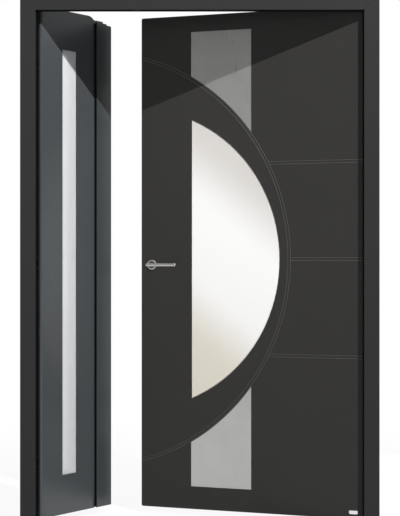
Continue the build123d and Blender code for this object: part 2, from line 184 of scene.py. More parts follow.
class DoorFittings(bpy.types.PropertyGroup):
    seal_width: bpy.props.FloatProperty(
        name="Pane seal width", description="Rubber line round each inner pane",
        unit="LENGTH", default=0.003)
    groove_centre_x: bpy.props.FloatProperty(
        name="Arc centre", description="Centre of the arc groove, across the door",
        unit="LENGTH", default=-0.5216)
    groove_radius: bpy.props.FloatProperty(
        name="Arc radius", description="Middle of the arc groove", unit="LENGTH", default=0.891)
    groove_spacing: bpy.props.FloatProperty(
        name="Groove spacing", description="Between the level grooves", unit="LENGTH", default=0.3992)
    groove_half_width: bpy.props.FloatProperty(
        name="Groove half width", description="From a groove's middle to its lip",
        unit="LENGTH", default=0.0056)
    bead_radius: bpy.props.FloatProperty(
        name="Groove bead radius", description="Half-round beads on the lips of the grooves",
        unit="LENGTH", default=0.0009)
    # The gasket's fin reaches past the lip so that its black shows as painted shade in the gap between lip
    # and leaf.
    gap_shade_fin_edge: bpy.props.FloatProperty(
        name="Gasket fin edge", description="From the door's middle to the edge of the frame gasket's fin",
        unit="LENGTH", default=0.6575)
    screw_radius: bpy.props.FloatProperty(
        name="Screw radius", description="Head of a countersunk screw", unit="LENGTH", default=0.0042)
    plate_size: bpy.props.FloatVectorProperty(
        name="Blank plate size", description="Width and height of the bare plate", unit="LENGTH",
        size=2, default=(0.035, 0.014))
    plate_inset: bpy.props.FloatVectorProperty(
        name="Blank plate inset", description="From the hinge edge and the foot of the leaf", unit="LENGTH",
        size=2, default=(0.053, 0.028))


class DoorStage(bpy.types.PropertyGroup):
    camera_place: bpy.props.FloatVectorProperty(
        name="Camera place", description="Where the camera stands", subtype="XYZ", unit="LENGTH",
        size=3, default=(0.0008, -5.6565, 1.089))
    key_place: bpy.props.FloatVectorProperty(
        name="Key lamp", description="Small lamp, high on the right", subtype="XYZ", unit="LENGTH",
        size=3, default=(2.96, -4.0, 6.29))
    key_power: bpy.props.FloatProperty(
        name="Key power", description="Key lamp in watts", unit="POWER", default=2750.0)
    fill_place: bpy.props.FloatVectorProperty(
        name="Fill lamp", description="Wide soft lamp in front, on the left", subtype="XYZ", unit="LENGTH",
        size=3, default=(-2.2, -2.6, 1.9))
    fill_power: bpy.props.FloatProperty(
        name="Fill power", description="Fill lamp in watts", unit="POWER", default=32.0)
    back_place: bpy.props.FloatVectorProperty(
        name="Back lamp", description="Wide soft lamp on the indoor side", subtype="XYZ", unit="LENGTH",
        size=3, default=(1.6, 4.5, 3.2))
    back_power: bpy.props.FloatProperty(
        name="Back power", description="Back lamp in watts", unit="POWER", default=110.0)
    sky_strength: bpy.props.FloatProperty(
        name="Sky strength", description="Even light from all sides", default=0.11)
    floor_colour: bpy.props.FloatVectorProperty(
        name="Floor", description="Pale floor", subtype="COLOR",
        size=4, min=0, max=1, default=(0.40, 0.40, 0.40, 1))


# Shader node groups that several finishes share

GRAIN_INPUTS = [("Vector", "NodeSocketVector"), ("Colour", "NodeSocketColor"),
                ("Tone", "NodeSocketFloat"), ("Roughness", "NodeSocketFloat")]
GRAIN_OUTPUTS = [("Colour", "NodeSocketColor"), ("Roughness", "NodeSocketFloat"),
                 ("Height", "NodeSocketFloat")]


def new_group(name, inputs):
    """Empty group with these inputs and the outputs that every grain has."""
    group = bpy.data.node_groups.new(name, "ShaderNodeTree")
    for in_out, sockets in (("INPUT", inputs), ("OUTPUT", GRAIN_OUTPUTS)):
        for socket_name, socket_type in sockets:
            group.interface.new_socket(socket_name, in_out=in_out, socket_type=socket_type)
    entry = group.nodes.new("NodeGroupInput")
    leave = group.nodes.new("NodeGroupOutput")
    return group, entry.outputs, leave.inputs


def feed(tree, socket, value):
    """Links a socket to another one, or gives it a plain value."""
    if isinstance(value, bpy.types.NodeSocket):
        tree.links.new(value, socket)
    else:
        socket.default_value = value


def noise_node(tree, place, scale, detail):
    node = tree.nodes.new("ShaderNodeTexNoise")
    node.inputs["Scale"].default_value = scale
    node.inputs["Detail"].default_value = detail
    tree.links.new(place, node.inputs["Vector"])
    return node.outputs[0]


def math_node(tree, operation, first, second):
    node = tree.nodes.new("ShaderNodeMath")
    node.operation = operation
    feed(tree, node.inputs[0], first)
    feed(tree, node.inputs[1], second)
    return node.outputs[0]


def range_node(tree, value, low, high, start=0.0, stop=1.0):
    """Maps a value from the span between start and stop to the span between low and high."""
    node = tree.nodes.new("ShaderNodeMapRange")
    settings = {"Value": value, "From Min": start, "From Max": stop, "To Min": low, "To Max": high}
    for socket_name, setting in settings.items():
        feed(tree, node.inputs[socket_name], setting)
    return node.outputs["Result"]


def tint_node(tree, colour, factor):
    """Colour times a grey factor."""
    mix = tree.nodes.new("ShaderNodeMix")
    mix.data_type = "RGBA"
    mix.blend_type = "MULTIPLY"
    mix.inputs[0].default_value = 1.0
    tree.links.new(colour, mix.inputs[6])
    tree.links.new(factor, mix.inputs[7])
    return mix.outputs[2]


def tone_node(tree, tone, value):
    """Factor that a value moves about one, up and down by the tone."""
    low = math_node(tree, "SUBTRACT", 1.0, tone)
    high = math_node(tree, "ADD", 1.0, tone)
    return range_node(tree, value, low, high)


def end_group(group, entry, leave, tone, shift, height):
    """Leads a grain's tone, its shift of the roughness and its height out of the group."""
    roughness = math_node(group, "ADD", entry["Roughness"], shift)
    group.links.new(tint_node(group, entry["Colour"], tone), leave["Colour"])
    group.links.new(roughness, leave["Roughness"])
    group.links.new(height, leave["Height"])


def powder_group():
    """Fine orange peel of powder coat, with faint clouds in its tone."""
    group, entry, leave = new_group("Powder coat grain", GRAIN_INPUTS)
    peel = noise_node(group, entry["Vector"], scale=700.0, detail=2.0)
    speck = noise_node(group, entry["Vector"], scale=2600.0, detail=1.0)
    cloud = noise_node(group, entry["Vector"], scale=2.2, detail=3.0)
    grain = range_node(group, speck, low=0.93, high=1.07)
    tone = math_node(group, "MULTIPLY", tone_node(group, entry["Tone"], cloud), grain)
    shift = range_node(group, peel, low=-0.05, high=0.05)
    height = math_node(group, "ADD", peel, math_node(group, "MULTIPLY", speck, 0.3))
    end_group(group, entry, leave, tone, shift, height)


def brushed_group():
    """Fine drawn lines along one axis, with a soft change of tone across them."""
    group, entry, leave = new_group("Brushed lines", GRAIN_INPUTS + [("Stretch", "NodeSocketVector")])
    stretch = group.nodes.new("ShaderNodeVectorMath")
    stretch.operation = "MULTIPLY"
    group.links.new(entry["Vector"], stretch.inputs[0])
    group.links.new(entry["Stretch"], stretch.inputs[1])
    lines = noise_node(group, stretch.outputs[0], scale=1500.0, detail=3.0)
    cloud = noise_node(group, entry["Vector"], scale=9.0, detail=3.0)
    drift = range_node(group, cloud, low=0.9, high=1.1)
    tone = math_node(group, "MULTIPLY", tone_node(group, entry["Tone"], lines), drift)
    shift = range_node(group, lines, low=-0.08, high=0.08)
    end_group(group, entry, leave, tone, shift, lines)


# Finishes: each function makes one material and leaves it in the file under its name


def start_material(name):
    """New material's node tree, its shader's inputs and the object coordinates."""
    if name in bpy.data.materials:
        raise RuntimeError("There is already a material called " + name)
    material = bpy.data.materials.new(name)
    material.use_nodes = True
    tree = material.node_tree
    place = tree.nodes.new("ShaderNodeTexCoord").outputs["Object"]
    return tree, tree.nodes["Principled BSDF"].inputs, place


def add_bump(tree, surface, height, strength, distance):
    bump = tree.nodes.new("ShaderNodeBump")
    bump.inputs["Strength"].default_value = strength
    bump.inputs["Distance"].default_value = distance
    tree.links.new(height, bump.inputs["Height"])
    tree.links.new(bump.outputs["Normal"], surface["Normal"])


def grained(name, group_name, values, strength, distance):
    """Material whose colour, roughness and relief come from one of the grain groups."""
    tree, surface, place = start_material(name)
    grain = tree.nodes.new("ShaderNodeGroup")
    grain.node_tree = bpy.data.node_groups[group_name]
    tree.links.new(place, grain.inputs["Vector"])
    for socket_name, value in values.items():
        grain.inputs[socket_name].default_value = value
    tree.links.new(grain.outputs["Colour"], surface["Base Color"])
    tree.links.new(grain.outputs["Roughness"], surface["Roughness"])
    add_bump(tree, surface, grain.outputs["Height"], strength, distance)
    return surface


def powder_coat(name, colour, roughness, gloss):
    values = {"Colour": colour, "Tone": 0.06, "Roughness": roughness}
    surface = grained(name, "Powder coat grain", values, strength=0.25, distance=0.0002)
    surface["Specular IOR Level"].default_value = gloss


def brushed_metal(name, colour, stretch, metallic, roughness, tone, relief):
    values = {"Colour": colour, "Stretch": stretch, "Tone": tone, "Roughness": roughness}
    surface = grained(name, "Brushed lines", values, strength=relief, distance=0.0001)
    surface["Metallic"].default_value = metallic


def soft_rubber(name, colour):
    values = {"Colour": colour, "Tone": 0.2, "Roughness": 0.65}
    surface = grained(name, "Powder coat grain", values, strength=0.3, distance=0.0003)
    surface["Specular IOR Level"].default_value = 0.12


def glass(name, colour, clarity, scale, detail, smooth, rough):
    """Glass whose roughness wanders between two values with a noise."""
    tree, surface, place = start_material(name)
    noise = noise_node(tree, place, scale, detail)
    tree.links.new(range_node(tree, noise, smooth, rough), surface["Roughness"])
    surface["Base Color"].default_value = colour
    surface["Transmission Weight"].default_value = clarity
    surface["IOR"].default_value = 1.45
    return tree, surface, place, noise


def clear_glass(name, colour):
    glass(name, colour, clarity=1.0, scale=14.0, detail=3.0, smooth=0.02, rough=0.07)


def etched_glass(name, colour, clarity, roughness):
    tree, surface, place, etch = glass(name, colour, clarity, scale=1800.0, detail=2.0,
                                       smooth=roughness - 0.06, rough=roughness + 0.06)
    add_bump(tree, surface, etch, strength=0.15, distance=0.0001)
    return tree, surface, place


def paint_pane_reflections(tree, surface, place, finish):
    """Paints reflections into the wide pane's base colour along a slant: a warm painted reflection towards
    its lower left, white in the middle, and a grey painted reflection towards its upper right.
    """
    slant = math.radians(-52)
    span = 0.6
    low, high = shut_box("main_outer_pane")
    turn = LEAF_TURN["main_leaf"]
    mapping = tree.nodes.new("ShaderNodeMapping")
    mapping.vector_type = "TEXTURE"
    mapping.inputs["Location"].default_value = turn @ ((low + high) / 2)
    mapping.inputs["Rotation"].default_value = (0, slant, turn.to_euler().z)
    tree.links.new(place, mapping.inputs["Vector"])
    split = tree.nodes.new("ShaderNodeSeparateXYZ")
    tree.links.new(mapping.outputs["Vector"], split.inputs[0])
    share = range_node(tree, split.outputs["X"], low=0.0, high=1.0, start=-span, stop=span)
    # Ramp from the warm painted reflection through white to the grey painted reflection
    ramp = tree.nodes.new("ShaderNodeValToRGB")
    ramp.color_ramp.interpolation = "EASE"
    stops = ((-0.40, finish.painted_reflection_lower_left), (-0.14, finish.main_glass_colour),
             (0.06, finish.main_glass_colour), (0.34, finish.painted_reflection_upper_right))
    elements = ramp.color_ramp.elements
    elements.new(0.4)
    elements.new(0.6)
    for element, (reach, colour) in zip(elements, stops):
        element.position = (reach + span) / (2 * span)
        element.color = colour
    tree.links.new(share, ramp.inputs["Fac"])
    tree.links.new(ramp.outputs["Color"], surface["Base Color"])


def blank_enamel(name, colour):
    tree, surface, place = start_material(name)
    cloud = noise_node(tree, place, scale=60.0, detail=2.0)
    white = tree.nodes.new("ShaderNodeRGB").outputs[0]
    white.default_value = colour
    tone = range_node(tree, cloud, low=0.92, high=1.08)
    tree.links.new(tint_node(tree, white, tone), surface["Base Color"])
    tree.links.new(range_node(tree, cloud, low=0.3, high=0.42), surface["Roughness"])


# Powder coats: colour, roughness, gloss
POWDER_COATS = {
    "jamb_paint": ("frame_colour", 0.42, 0.10),
    "main_paint": ("main_colour", 0.40, 0.14),
    "side_paint": ("side_colour", 0.26, 0.55),
    # Narrow leaf's coat made darker, as painted shade on the cover strip
    "strip_shaded_paint": ("strip_painted_shade_colour", 0.26, 0.55),
    "bead_glint_paint": ("bead_glint_colour", 0.35, 0.18),
}

# Brushed metals: colour, stretch of the lines on each axis, metallic share, roughness, tone, relief
BRUSHED_METALS = {
    "inlay_steel": ("inlay_colour", (1, 1, 0.01), 0.74, 0.30, 0.02, 0.05),
    "fitting_steel": ("fitting_colour", (0.02, 0.02, 1), 0.90, 0.35, 0.06, 0.20),
    "barrel_steel": ("hinge_colour", (0.2, 0.2, 1), 0.30, 0.40, 0.05, 0.20),
    "sill_aluminium": ("sill_colour", (0.01, 1, 1), 0.60, 0.62, 0.06, 0.20),
    "dish_steel": ("dish_colour", (1, 1, 1), 0.60, 0.50, 0.10, 0.20),
    "screw_steel": ("screw_colour", (1, 1, 1), 0.90, 0.40, 0.10, 0.20),
}

# Solid pieces of the door under the finish that they get
FINISH_OF = {
    "jamb_paint": ["left_jamb", "right_jamb", "head"],
    "main_paint": ["main_outer_panel", "main_hinge_stile", "main_lock_stile", "main_top_rail",
                   "main_bottom_rail", "main_infill", "main_glazing_bead"],
    "side_paint": ["side_outer_panel", "side_hinge_stile", "side_meeting_stile", "side_top_rail",
                   "side_bottom_rail", "side_infill", "side_glazing_bead"],
    "strip_shaded_paint": ["strip_carrier", "cover_strip"],
    "rubber": ["frame_gasket", "strip_gasket", "main_bottom_seal", "side_bottom_seal"],
    "main_glass": ["main_outer_pane"],
    "side_glass": ["side_outer_pane"],
    "clear_glass": ["main_inner_pane", "side_inner_pane"],
    "inlay_steel": ["upper_inlay", "lower_inlay"],
    "fitting_steel": ["outer_lever", "inner_lever", "outer_rosette", "inner_rosette",
                      "lock_faceplate", "strike_plate", "flush_bolt_plates"],
    "barrel_steel": ["main_frame_knuckles", "main_leaf_knuckles", "main_hinge_pins", "side_frame_knuckles",
                     "side_leaf_knuckles", "side_hinge_pins", "spindle", "lock_bolts"],
    "sill_aluminium": ["threshold", "main_pane_spacer", "side_pane_spacer"],
}


class DOOR_OT_finishes(bpy.types.Operator):
    """Makes every finish and gives it to the door's solid pieces"""
    bl_idname = "door.finishes"
    bl_label = "Finishes"

    def execute(self, context):
        finish = context.scene.door_finish
        powder_group()
        brushed_group()
        for name, (colour, *surface) in POWDER_COATS.items():
            powder_coat(name, getattr(finish, colour), *surface)
        for name, (colour, *surface) in BRUSHED_METALS.items():
            brushed_metal(name, getattr(finish, colour), *surface)
        soft_rubber("rubber", finish.rubber_and_gap_shade_colour)
        clear_glass("clear_glass", finish.clear_glass_colour)
        etched_glass("side_glass", finish.side_glass_colour, clarity=0.5, roughness=0.4)
        pane = etched_glass("main_glass", finish.main_glass_colour, clarity=0.06, roughness=0.32)
        paint_pane_reflections(*pane, finish)
        blank_enamel("blank_enamel", finish.plate_colour)
        for name, nodes in FINISH_OF.items():
            for node in nodes:
                for slot in frame["nodes"][node].material_slots:
                    slot.material = bpy.data.materials[name]
        for node in ("outer_lever", "outer_rosette"):
            frame["nodes"][node].visible_shadow = False
        return {"FINISHED"}


# Small pieces made here, in metres and on the shut door


def mesh_object(name, mesh, finish):
    """Object at the origin with a bmesh's shape and one material."""
    data = bpy.data.meshes.new(name)
    mesh.to_mesh(data)
    mesh.free()
    data.materials.append(bpy.data.materials[finish])
    made = bpy.data.objects.new(name, data)
    bpy.context.scene.collection.objects.link(made)
    return made


def add_piece(name, mesh, body, finish):
    """Turns a bmesh modelled on the shut door into a piece that rides on its body."""
    bmesh.ops.transform(mesh, matrix=LEAF_TURN[body], verts=mesh.verts)
    piece = mesh_object(name, mesh, finish)
    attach(piece, body)
    return piece


def shade_smooth(piece, angle):
    piece.data.shade_smooth()
    piece.data.set_sharp_from_angle(angle=math.radians(angle))


def move_new_verts(mesh, grown, vec):
    """Moves the vertices that an extrusion has made."""
    moved = [item for item in grown["geom"] if isinstance(item, bmesh.types.BMVert)]
    bmesh.ops.translate(mesh, vec=vec, verts=moved)


def extrude_faces(mesh, faces, vec):
    """Extrudes faces along a vector and keeps the first ones as the other end."""
    grown = bmesh.ops.extrude_face_region(mesh, geom=faces, use_keep_orig=True)
    move_new_verts(mesh, grown, vec)
    bmesh.ops.recalc_face_normals(mesh, faces=mesh.faces)


def section_bar(mesh, section, start, end):
    """Bar with one section of depths and heights, from one x to another."""
    corners = [mesh.verts.new((start, depth, height)) for depth, height in section]
    extrude_faces(mesh, [mesh.faces.new(corners)], (end - start, 0, 0))


def face_ring(mesh, width, depth):
    """Turns the mesh's one face into a ring of this width and depth."""
    inner = mesh.faces[:]
    bmesh.ops.inset_region(mesh, faces=inner, thickness=width, use_even_offset=True, use_boundary=True)
    bmesh.ops.delete(mesh, geom=inner, context="FACES")
    extrude_faces(mesh, mesh.faces[:], (0, depth, 0))


def pane_face(low, high, inset, depth, rounded):
    """Face of a pane's outline, straight-sided or with an arc on its right."""
    arc_segments = 320
    mesh = bmesh.new()
    middle = (low + high) / 2
    if rounded:
        half = (high.z - low.z) / 2
        width = high.x - low.x
        radius = (half ** 2 + width ** 2) / (2 * width)
        bmesh.ops.create_circle(mesh, cap_ends=True, radius=radius - inset, segments=arc_segments)
        spot = Vector((high.x - radius, depth, middle.z))
    else:
        bmesh.ops.create_grid(mesh, x_segments=1, y_segments=1, size=0.5)
        size = (high.x - low.x - 2 * inset, high.z - low.z - 2 * inset, 1)
        bmesh.ops.scale(mesh, vec=size, verts=mesh.verts)
        spot = Vector((middle.x, depth, middle.z))
    bmesh.ops.rotate(mesh, matrix=Matrix.Rotation(math.radians(90), 3, "X"), verts=mesh.verts)
    bmesh.ops.translate(mesh, vec=spot, verts=mesh.verts)
    if rounded:
        everything = mesh.verts[:] + mesh.edges[:] + mesh.faces[:]
        bmesh.ops.bisect_plane(mesh, geom=everything, plane_co=(low.x + inset, 0, 0),
                               plane_no=(1, 0, 0), clear_inner=True)
    return mesh


class DOOR_OT_pane_seals(bpy.types.Operator):
    """Adds the rubber lines between the inner panes and their beads"""
    bl_idname = "door.pane_seals"
    bl_label = "Pane seals"

    def execute(self, context):
        width = context.scene.door_fittings.seal_width
        bead_width = 0.012
        edge_rounding = 0.0008
        for prefix, rounded in (("main", True), ("side", False)):
            low, high = shut_box(prefix + "_inner_pane")
            mesh = pane_face(low, high, bead_width, high.y, rounded)
            face_ring(mesh, width, width)
            seal = add_piece(prefix + "_pane_seal", mesh, prefix + "_leaf", "rubber")
            bevel = seal.modifiers.new("rounding", "BEVEL")
            bevel.width = edge_rounding
            bevel.segments = 2
            shade_smooth(seal, 40)
        return {"FINISHED"}


class DOOR_OT_grooves(bpy.types.Operator):
    """Adds the floors of the arc groove and the level grooves, and the fine beads along their lips, whose
    lighter paint is partly a painted glint on the lips
    """
    bl_idname = "door.grooves"
    bl_label = "Grooves"

    arc_steps = 200
    bead_sides = 10
    lip_depth = 0.0003
    floor_depth = 0.0019
    floor_share = 0.7

    def execute(self, context):
        fittings = context.scene.door_fittings
        low, high = shut_box("main_outer_panel")
        pane_low, pane_high = shut_box("main_outer_pane")
        centre = Vector((fittings.groove_centre_x, low.y, (pane_low.z + pane_high.z) / 2))
        half = fittings.groove_half_width
        lock_edge = low.x + 0.004
        hinge_edge = high.x - 0.01
        runs = {"groove_floors": (self.floor_section, [0], "main_paint"),
                "groove_beads": (self.bead_section, [-half, half], "bead_glint_paint")}
        for name, (section, offsets, finish) in runs.items():
            mesh = bmesh.new()
            for offset in offsets:
                radius = fittings.groove_radius + offset
                reach = math.acos((lock_edge - centre.x) / radius)
                self.arc_run(mesh, section(mesh, fittings), centre, radius, reach)
                for step in (-1, 0, 1):
                    rise = step * fittings.groove_spacing + offset
                    begin = centre.x + math.sqrt((fittings.groove_radius + half) ** 2 - rise ** 2)
                    place = Vector((begin, centre.y, centre.z + rise))
                    self.level_run(mesh, section(mesh, fittings), place, hinge_edge)
            bmesh.ops.holes_fill(mesh, edges=mesh.edges, sides=self.bead_sides)
            bmesh.ops.recalc_face_normals(mesh, faces=mesh.faces)
            piece = add_piece(name, mesh, "main_leaf", finish)
            shade_smooth(piece, 42)
        return {"FINISHED"}

    def bead_section(self, mesh, fittings):
        bead = bmesh.ops.create_circle(mesh, radius=fittings.bead_radius, segments=self.bead_sides)
        return bead["verts"]

    def floor_section(self, mesh, fittings):
        half = fittings.groove_half_width
        foot = self.floor_share * half
        points = [(-half, self.lip_depth), (-foot, self.floor_depth),
                  (foot, self.floor_depth), (half, self.lip_depth)]
        corners = [mesh.verts.new((across, depth, 0)) for across, depth in points]
        for pair in zip(corners, corners[1:] + corners[:1]):
            mesh.edges.new(pair)
        return corners

    def section_edges(self, corners):
        return list(dict.fromkeys(edge for corner in corners for edge in corner.link_edges))

    def arc_run(self, mesh, corners, centre, radius, reach):
        """Sweeps a section round the arc groove, from the lock edge and back to it."""
        bmesh.ops.translate(mesh, vec=centre + Vector((radius, 0, 0)), verts=corners)
        bmesh.ops.rotate(mesh, cent=centre, matrix=Matrix.Rotation(-reach, 3, "Y"), verts=corners)
        bmesh.ops.spin(mesh, geom=corners + self.section_edges(corners), cent=centre, axis=(0, 1, 0),
                       angle=2 * reach, steps=self.arc_steps)

    def level_run(self, mesh, corners, place, end):
        """Draws a section straight from the arc groove to the hinge edge."""
        bmesh.ops.rotate(mesh, matrix=Matrix.Rotation(math.radians(-90), 3, "Y"), verts=corners)
        bmesh.ops.translate(mesh, vec=place, verts=corners)
        grown = bmesh.ops.extrude_edge_only(mesh, edges=self.section_edges(corners))
        move_new_verts(mesh, grown, (end - place.x, 0, 0))


class DOOR_OT_frame_bulb(bpy.types.Operator):
    """Replaces the plain frame gasket by a soft bulb whose black fin shows along the frame's lip, standing
    in as painted shade in the gap between lip and leaf
    """
    bl_idname = "door.frame_bulb"
    bl_label = "Frame bulb gasket"

    def execute(self, context):
        low, high = shut_box("frame_gasket")
        middle = (low.y + high.y) / 2
        bulb_half_width = 0.004
        leg = high.x - bulb_half_width
        top = high.z - bulb_half_width
        # Fin that reaches past the lip: a black sheet standing in as painted shade in the gap
        fin = leg - context.scene.door_fittings.gap_shade_fin_edge
        # Across and in depth, from the bulb's middle
        section = [(fin, -0.0046), (fin, -0.0032), (0.0036, -0.0020), (0.0040, 0.0), (0.0032, 0.0030),
                   (0.0016, 0.0046), (-0.0010, 0.0048), (-0.0030, 0.0033), (-0.0040, 0.0006),
                   (-0.0036, -0.0024), (-0.0020, -0.0044), (0.0, -0.0049)]
        mesh = bmesh.new()
        corners = [mesh.verts.new((across - leg, middle + depth, low.z)) for across, depth in section]
        cap = [mesh.faces.new(corners)]
        for stop in range(3):
            grown = bmesh.ops.extrude_face_region(mesh, geom=cap + list(cap[0].edges))
            cap = [item for item in grown["geom"] if isinstance(item, bmesh.types.BMFace)]
            for vertex in cap[0].verts:
                if stop == 0:
                    vertex.co.z = top - (vertex.co.x + leg)
                elif stop == 1:
                    vertex.co.x = -vertex.co.x
                else:
                    vertex.co.z = low.z
        bmesh.ops.recalc_face_normals(mesh, faces=mesh.faces)
        bulb = add_piece("frame_bulb", mesh, "frame", "rubber")
        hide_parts("frame_gasket")
        shade_smooth(bulb, 50)
        return {"FINISHED"}


class DOOR_OT_foot_seals(bpy.types.Operator):
    """Replaces the plain seals under both leaves by seals with two fins"""
    bl_idname = "door.foot_seals"
    bl_label = "Foot seals"

    def execute(self, context):
        for prefix in ("main", "side"):
            low, high = shut_box(prefix + "_bottom_seal")
            middle = (low.y + high.y) / 2
            half = (high.y - low.y) / 2
            root = high.z - 0.004
            # One side of the section: share of the half width, and height
            side = [(1.0, high.z), (1.0, root), (0.8, low.z), (0.65, low.z), (0.5, root)]
            section = [(middle - share * half, z) for share, z in side]
            section += [(middle + share * half, z) for share, z in reversed(side)]
            mesh = bmesh.new()
            section_bar(mesh, section, low.x, high.x)
            seal = add_piece(prefix + "_foot_seal", mesh, prefix + "_leaf", "rubber")
            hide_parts(prefix + "_bottom_seal")
        return {"FINISHED"}


class DOOR_OT_rosette_dishes(bpy.types.Operator):
    """Adds the dark insets in the dished faces of the rosettes"""
    bl_idname = "door.rosette_dishes"
    bl_label = "Rosette dishes"

    def execute(self, context):
        rim, dish, crown, neck, sunk = 0.0045, 0.002, 0.0006, 0.0075, -0.0002
        for name, outward in (("outer", -1), ("inner", 1)):
            low, high = shut_box(name + "_rosette")
            middle = (low + high) / 2
            radius = (high.x - low.x) / 2 - rim
            floor = low.y + dish if outward < 0 else high.y - dish
            mesh = bmesh.new()
            points = [(neck, sunk), (neck, crown), (radius * 0.7, crown * 1.6),
                      (radius, crown), (radius, sunk)]
            corners = [mesh.verts.new((middle.x + x, floor + outward * y, middle.z)) for x, y in points]
            edges = [mesh.edges.new(pair) for pair in zip(corners, corners[1:] + corners[:1])]
            bmesh.ops.spin(mesh, geom=corners + edges, cent=middle, axis=(0, 1, 0), angle=math.tau,
                           steps=48, use_merge=True)
            bmesh.ops.remove_doubles(mesh, verts=mesh.verts, dist=1e-6)
            bmesh.ops.recalc_face_normals(mesh, faces=mesh.faces)
            inset = add_piece(name + "_rosette_dish", mesh, "main_leaf", "dish_steel")
            shade_smooth(inset, 35)
        return {"FINISHED"}


class DOOR_OT_screws(bpy.types.Operator):
    """Adds the socket screws of the hinges and of the lock, strike and flush bolt plates"""
    bl_idname = "door.screws"
    bl_label = "Screws"

    head_sides = 18
    sunk = 0.0002
    hinge_heights = (0.257, 1.071, 1.885)
    plate_thickness = 0.0025
    frame_rises = (-0.0645, -0.0425, 0.0425, 0.0645)
    leaf_rises = (-0.02, 0.02)
    frame_depth = 0.019
    leaf_depth = 0.017

    # Heights of the screws as shares of a plate's length
    lock_shares = (0.02, 0.25, 0.38, 0.6, 0.75, 0.98)
    bolt_shares = (0.006, 0.091, 0.909, 0.994)

    # Steps of a screw head from its rim to its socket: share of the width, and rise
    head_steps = ((0.82, 0.0007), (0.55, 0.0001), (0.95, -0.0012))

    def execute(self, context):
        radius = context.scene.door_fittings.screw_radius
        for prefix, side in (("main", 1), ("side", -1)):
            low, high = shut_box(prefix + "_frame_knuckles")
            wall = max(abs(low.x), abs(high.x)) - self.plate_thickness
            heights = [z + rise for z in self.hinge_heights for rise in self.frame_rises]
            places = [(side * wall, self.frame_depth, z) for z in heights]
            self.add_screws(prefix + "_frame_screws", "frame", places, -side, radius)
            low, high = shut_box(prefix + "_leaf_knuckles")
            edge = min(abs(low.x), abs(high.x)) + self.plate_thickness
            heights = [z + rise for z in self.hinge_heights for rise in self.leaf_rises]
            places = [(side * edge, self.leaf_depth, z) for z in heights]
            self.add_screws(prefix + "_leaf_screws", prefix + "_leaf", places, side, radius)
        plates = (("lock_faceplate", "main_leaf", -1, self.lock_shares),
                  ("strike_plate", "side_leaf", 1, self.lock_shares),
                  ("flush_bolt_plates", "side_leaf", 1, self.bolt_shares))
        for name, body, facing, shares in plates:
            low, high = shut_box(name)
            face = low.x if facing < 0 else high.x
            span = high.z - low.z
            heights = [low.z + share * span for share in shares]
            places = [(face, (low.y + high.y) / 2, z) for z in heights]
            self.add_screws(name + "_screws", body, places, facing, radius)
        return {"FINISHED"}

    def add_screws(self, name, body, places, facing, radius):
        mesh = bmesh.new()
        turn = Matrix.Rotation(math.radians(90 * facing), 3, "Y")
        for place in places:
            start = len(mesh.verts)
            head = bmesh.ops.create_circle(mesh, cap_ends=True, radius=radius, segments=self.head_sides)
            face = head["verts"][0].link_faces[0]
            for share, rise in self.head_steps:
                self.raise_face(mesh, face, share, rise)
            mesh.verts.ensure_lookup_table()
            verts = mesh.verts[start:]
            bmesh.ops.translate(mesh, vec=(0, 0, -self.sunk), verts=verts)
            bmesh.ops.rotate(mesh, matrix=turn, verts=verts)
            bmesh.ops.translate(mesh, vec=place, verts=verts)
        bmesh.ops.holes_fill(mesh, edges=mesh.edges, sides=self.head_sides)
        bmesh.ops.recalc_face_normals(mesh, faces=mesh.faces)
        screws = add_piece(name, mesh, body, "screw_steel")
        shade_smooth(screws, 40)

    def raise_face(self, mesh, face, share, rise):
        """Insets a face to a share of its width and lifts it."""
        centre = face.calc_center_median()
        bmesh.ops.inset_region(mesh, faces=[face], thickness=1e-5, use_boundary=True)
        for vertex in face.verts:
            vertex.co = centre + (vertex.co - centre) * share + Vector((0, 0, rise))


class DOOR_OT_slide_bolts(bpy.types.Operator):
    """Adds the slotted surrounds and sliding knobs of the flush bolts in the narrow leaf's edge"""
    bl_idname = "door.slide_bolts"
    bl_label = "Slide bolts"

    plate_length = 0.2
    slot_length = 0.09
    slot_width = 0.011
    sunk = 0.0003
    knob_share = 0.4

    # Insets and rises, from the rim of the surround to the floor of its slot, and up the knob
    surround_steps = ((0.0006, 0.0009), (0.0012, 0.0), (0.0004, -0.0004), (0.0004, 0.0))
    knob_steps = ((0.0002, 0.0006), (0.0006, 0.0003))

    def execute(self, context):
        low, high = shut_box("flush_bolt_plates")
        depth = (low.y + high.y) / 2
        mesh = bmesh.new()
        for z in (low.z + self.plate_length / 2, high.z - self.plate_length / 2):
            start = len(mesh.verts)
            bmesh.ops.create_grid(mesh, x_segments=1, y_segments=1, size=0.5)
            mesh.verts.ensure_lookup_table()
            mesh.faces.ensure_lookup_table()
            corners = mesh.verts[start:]
            face = mesh.faces[-1]
            bmesh.ops.scale(mesh, vec=(self.slot_length, self.slot_width, 1), verts=corners)
            bmesh.ops.rotate(mesh, matrix=Matrix.Rotation(math.radians(90), 3, "Y"), verts=corners)
            bmesh.ops.translate(mesh, vec=(high.x - self.sunk, depth, z), verts=corners)
            for inset, rise in self.surround_steps:
                self.step_face(mesh, face, inset, rise)
            for vertex in face.verts:
                vertex.co.z = z + (vertex.co.z - z) * self.knob_share
            for inset, rise in self.knob_steps:
                self.step_face(mesh, face, inset, rise)
        bmesh.ops.holes_fill(mesh, edges=mesh.edges, sides=4)
        bmesh.ops.recalc_face_normals(mesh, faces=mesh.faces)
        add_piece("slide_bolts", mesh, "side_leaf", "screw_steel")
        return {"FINISHED"}

    def step_face(self, mesh, face, inset, rise):
        """Insets a face of the leaf's edge and moves it outwards."""
        bmesh.ops.inset_region(mesh, faces=[face], thickness=inset, use_even_offset=True, use_boundary=True)
        bmesh.ops.translate(mesh, vec=(rise, 0, 0), verts=face.verts)


